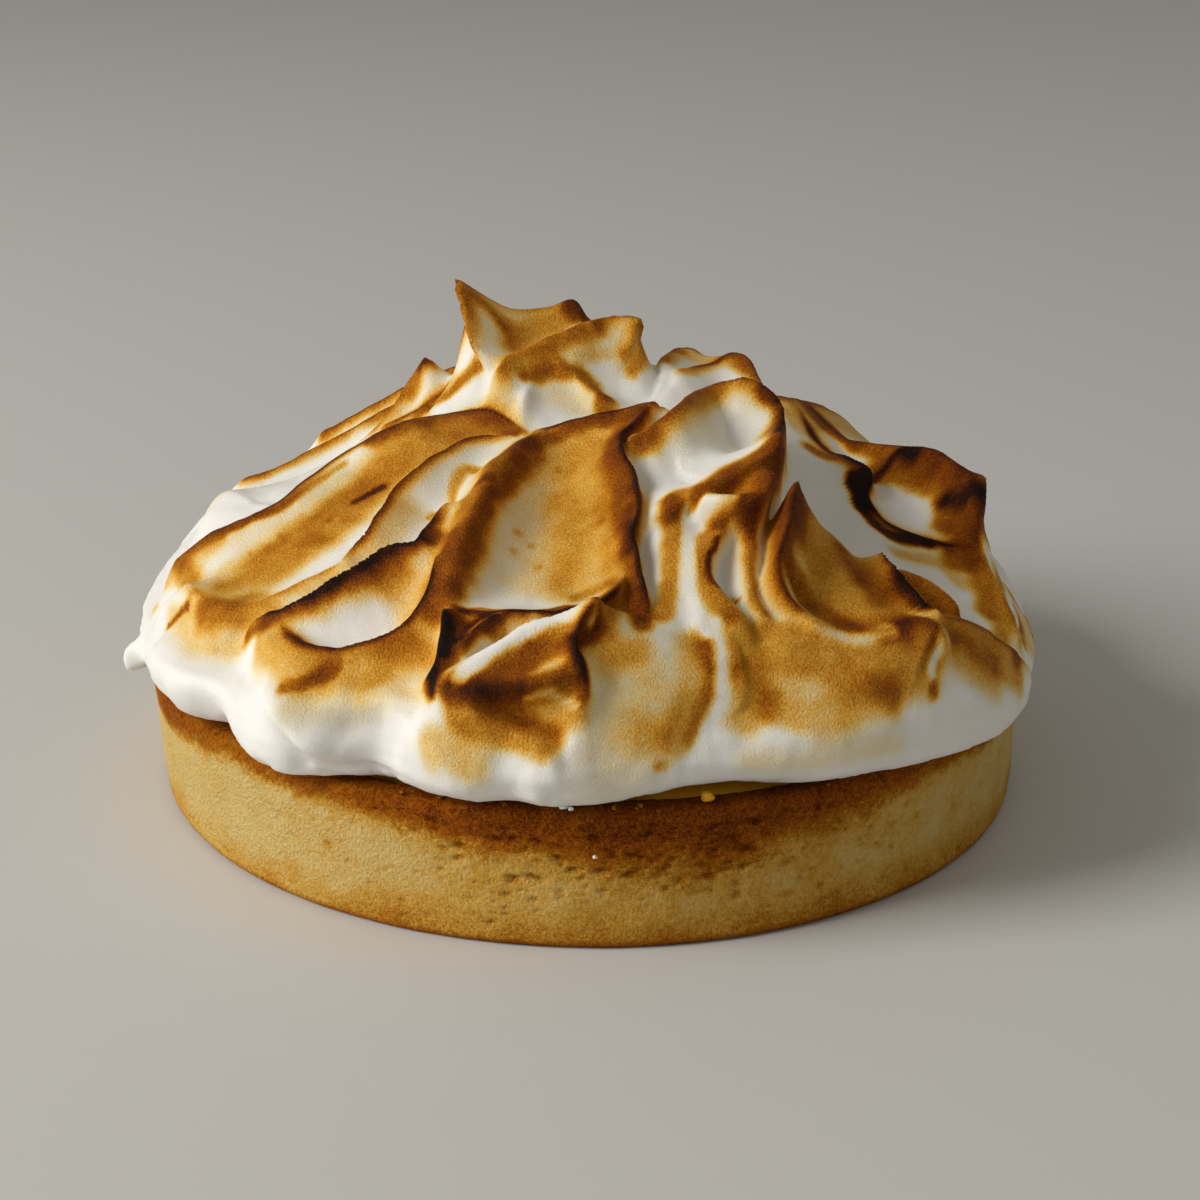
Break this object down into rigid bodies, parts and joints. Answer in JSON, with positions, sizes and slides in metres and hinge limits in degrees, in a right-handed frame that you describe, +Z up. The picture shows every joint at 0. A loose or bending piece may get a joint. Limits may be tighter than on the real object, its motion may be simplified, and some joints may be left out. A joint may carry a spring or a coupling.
{
  "type": "meringue tart",
  "caption": "Round shortcrust tart filled with lemon curd and topped with a torched meringue dome of folds, curls and peaks, to stand on a plate or cake board.",
  "frame": {"origin": "centre of the crust's flat underside, on the surface that the tart stands on", "axes": "+Z up along the axis of the crust, -Y towards the shown front, +X to the right seen from the front"},
  "size_m": [0.1236, 0.1291, 0.0668],
  "materials": {
    "shortcrust": "matt sandy baked shortcrust, darker at the rim",
    "curd": "smooth glossy yellow curd",
    "torched_meringue": "soft white meringue, torched golden to dark brown on its folds"
  },
  "bodies": {
    "root": {"crust": "shortcrust", "lemon_curd": "curd", "meringue": "torched_meringue"}
  },
  "joints": []
}
